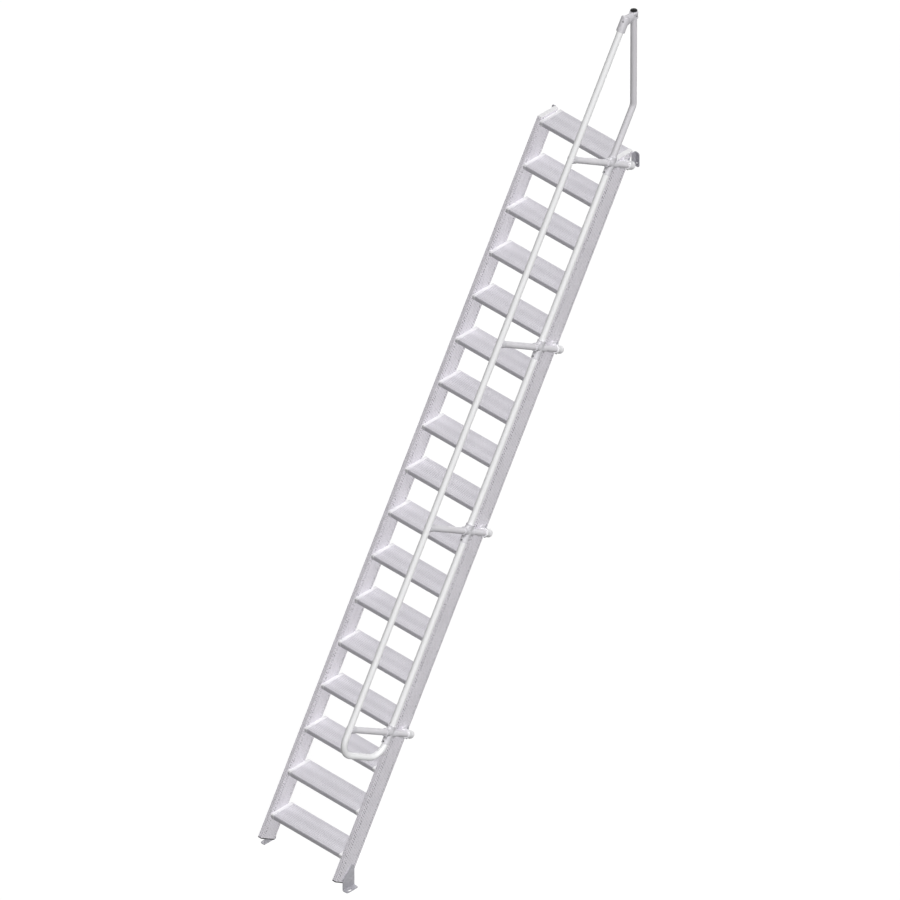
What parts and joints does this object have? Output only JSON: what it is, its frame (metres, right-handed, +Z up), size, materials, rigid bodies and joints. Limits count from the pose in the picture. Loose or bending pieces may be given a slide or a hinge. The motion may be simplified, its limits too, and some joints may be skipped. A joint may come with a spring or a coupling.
{
  "type": "steep industrial stair",
  "caption": "Steep straight stair of box stringers and ribbed open treads, with one tube handrail on struts and bolted foot and top brackets.",
  "frame": {"origin": "middle of the right foot bracket's sole, on the floor", "axes": "+X across the stair to the climber's right, +Y forwards in the way of climbing, +Z up"},
  "size_m": [0.7629, 2.531, 5.246],
  "materials": {
    "stringer_aluminium": "plain drawn aluminium, satin",
    "tread_aluminium": "drawn aluminium with a ribbed top",
    "rail_tube": "satin anodised tube",
    "cast_fitting": "die cast, fine tumbled surface",
    "bracket_steel": "zinc coated folded plate",
    "cap_plastic": "moulded, light grey",
    "cover_plastic": "moulded, pale",
    "plug_rubber": "moulded, black"
  },
  "bodies": {
    "root": {"cross_clamps": "cast_fitting", "foot_bracket_left": "bracket_steel", "foot_bracket_right": "bracket_steel", "handrail": "rail_tube", "knee_rail": "rail_tube", "rail_saddles": "cast_fitting", "stringer_foot_plug_left": "plug_rubber", "stringer_foot_plug_right": "plug_rubber", "stringer_left": "stringer_aluminium", "stringer_right": "stringer_aluminium", "stringer_top_cover_left": "cover_plastic", "stringer_top_cover_right": "cover_plastic", "strut_1": "rail_tube", "strut_2": "rail_tube", "strut_3": "rail_tube", "strut_4": "rail_tube", "strut_sockets": "cast_fitting", "top_bracket_left": "bracket_steel", "top_bracket_right": "bracket_steel", "top_fitting": "cast_fitting", "top_plug": "plug_rubber", "top_riser": "rail_tube", "tread_01": "tread_aluminium", "tread_02": "tread_aluminium", "tread_03": "tread_aluminium", "tread_04": "tread_aluminium", "tread_05": "tread_aluminium", "tread_06": "tread_aluminium", "tread_07": "tread_aluminium", "tread_08": "tread_aluminium", "tread_09": "tread_aluminium", "tread_10": "tread_aluminium", "tread_11": "tread_aluminium", "tread_12": "tread_aluminium", "tread_13": "tread_aluminium", "tread_14": "tread_aluminium", "tread_15": "tread_aluminium", "tread_16": "tread_aluminium", "tread_17": "tread_aluminium", "tread_end_caps_left": "cap_plastic", "tread_end_caps_right": "cap_plastic"}
  },
  "joints": []
}
